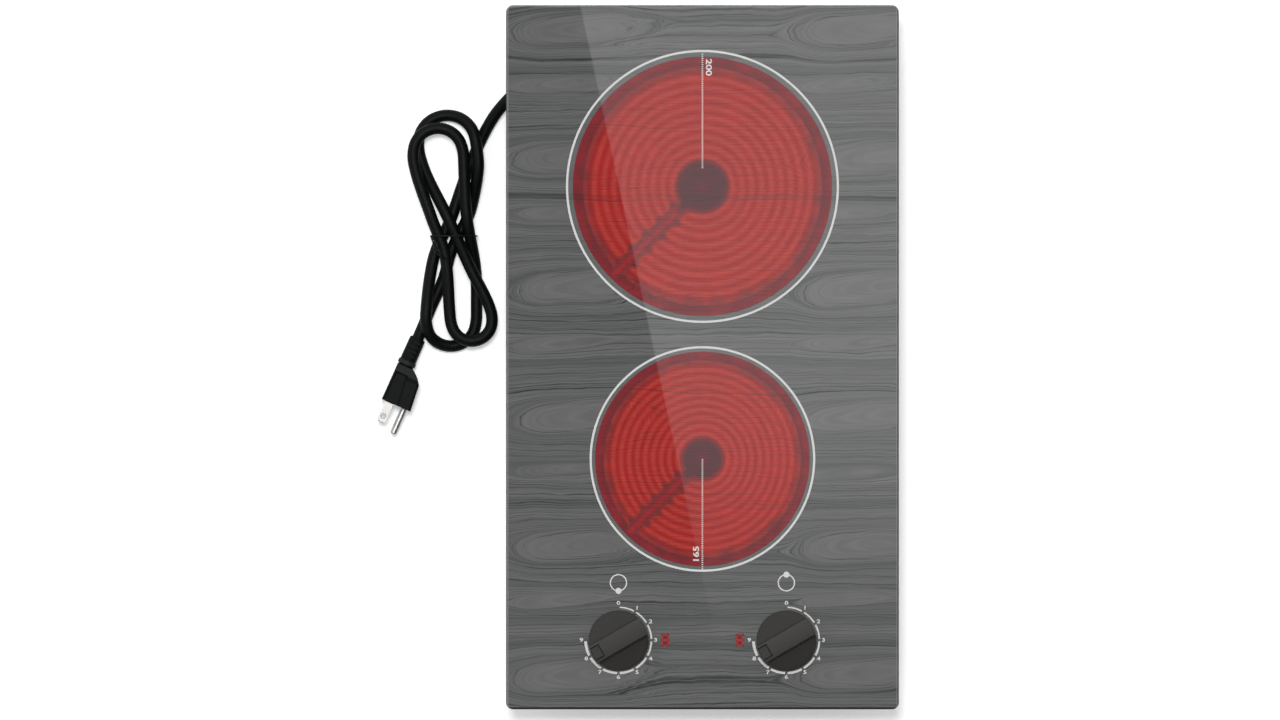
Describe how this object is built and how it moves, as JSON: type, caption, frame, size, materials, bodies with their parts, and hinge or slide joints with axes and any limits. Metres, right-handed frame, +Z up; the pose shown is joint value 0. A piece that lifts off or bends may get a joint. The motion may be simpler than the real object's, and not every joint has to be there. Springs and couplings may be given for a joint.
{
  "type": "ceramic cooktop",
  "caption": "Flat radiant cooktop: wood-grain glass plate on a sheet-metal pan, glowing ribbon heaters under it, rotary knobs, and a mains cord tied in a figure-eight hank.",
  "frame": {"origin": "middle of the plane that the four feet stand on, under the middle of the glass", "axes": "+X to the right seen from the knobs, +Y to the back, away from the knobs, +Z up"},
  "size_m": [0.3851, 0.52, 0.081],
  "materials": {
    "printed_glass": "gloss",
    "silicone": "matte",
    "coated_steel": "satin",
    "galvanised_steel": "satin",
    "zinc_screw": "satin",
    "foot_rubber": "matte",
    "fibre_insulation": "matte",
    "heating_alloy": "matte",
    "quartz_tube": "gloss",
    "steatite": "matte",
    "circuit_board": "satin",
    "nylon": "satin",
    "black_plastic": "satin",
    "knob_plastic": "satin",
    "shaft_metal": "satin",
    "red_led": "gloss",
    "transformer_tape": "satin",
    "wire_pvc": "satin",
    "cord_pvc": "satin",
    "plug_pvc": "satin",
    "nickel_plate": "polished"
  },
  "bodies": {
    "base": {"base_pan": "coated_steel", "board_screws": "zinc_screw", "board_spacers": "nylon", "control_board": "circuit_board", "control_body_left": "black_plastic", "control_body_right": "black_plastic", "control_bracket": "galvanised_steel", "cord_bushing": "black_plastic", "cord_hank": "cord_pvc", "cord_lead": "cord_pvc", "cord_tail": "cord_pvc", "cord_tie": "plug_pvc", "digit_display_left": "black_plastic", "digit_display_right": "black_plastic", "digit_segments_left": "red_led", "digit_segments_right": "red_led", "floor_screws": "zinc_screw", "foot_front_left": "foot_rubber", "foot_front_right": "foot_rubber", "foot_rear_left": "foot_rubber", "foot_rear_right": "foot_rubber", "frame_screws": "zinc_screw", "glass_frame": "coated_steel", "glass_seal": "silicone", "glass_top": "printed_glass", "heater_dish_front": "galvanised_steel", "heater_dish_rear": "galvanised_steel", "heater_terminals": "galvanised_steel", "heater_wires": "wire_pvc", "heating_ribbon_front": "heating_alloy", "heating_ribbon_rear": "heating_alloy", "insulation_base_front": "fibre_insulation", "insulation_base_rear": "fibre_insulation", "insulation_ring_front": "fibre_insulation", "insulation_ring_rear": "fibre_insulation", "knob_seals": "silicone", "limiter_switch_front": "steatite", "limiter_switch_rear": "steatite", "limiter_tube_front": "quartz_tube", "limiter_tube_rear": "quartz_tube", "mains_wires": "wire_pvc", "plug_blades": "nickel_plate", "plug_body": "plug_pvc", "plug_earth_pin": "nickel_plate", "power_board": "circuit_board", "power_relays": "black_plastic", "power_transformer": "transformer_tape", "support_bar_front": "galvanised_steel", "support_bar_rear": "galvanised_steel", "support_springs": "galvanised_steel", "terminal_block": "nylon"},
    "left_knob": {"knob_left": "knob_plastic", "knob_marker_left": "black_plastic", "knob_clip_left": "galvanised_steel", "control_shaft_left": "shaft_metal"},
    "right_knob": {"knob_right": "knob_plastic", "knob_marker_right": "black_plastic", "knob_clip_right": "galvanised_steel", "control_shaft_right": "shaft_metal"}
  },
  "joints": [
    {"name": "knob_left_turn", "type": "hinge", "parent": "base", "child": "left_knob", "pos_m": [-0.062, -0.2089, 0.07], "axis": [0, 0, 1], "range_deg": [-30, 240]},
    {"name": "knob_right_turn", "type": "hinge", "parent": "base", "child": "right_knob", "pos_m": [0.062, -0.2089, 0.07], "axis": [0, 0, 1], "range_deg": [-30, 240]}
  ]
}
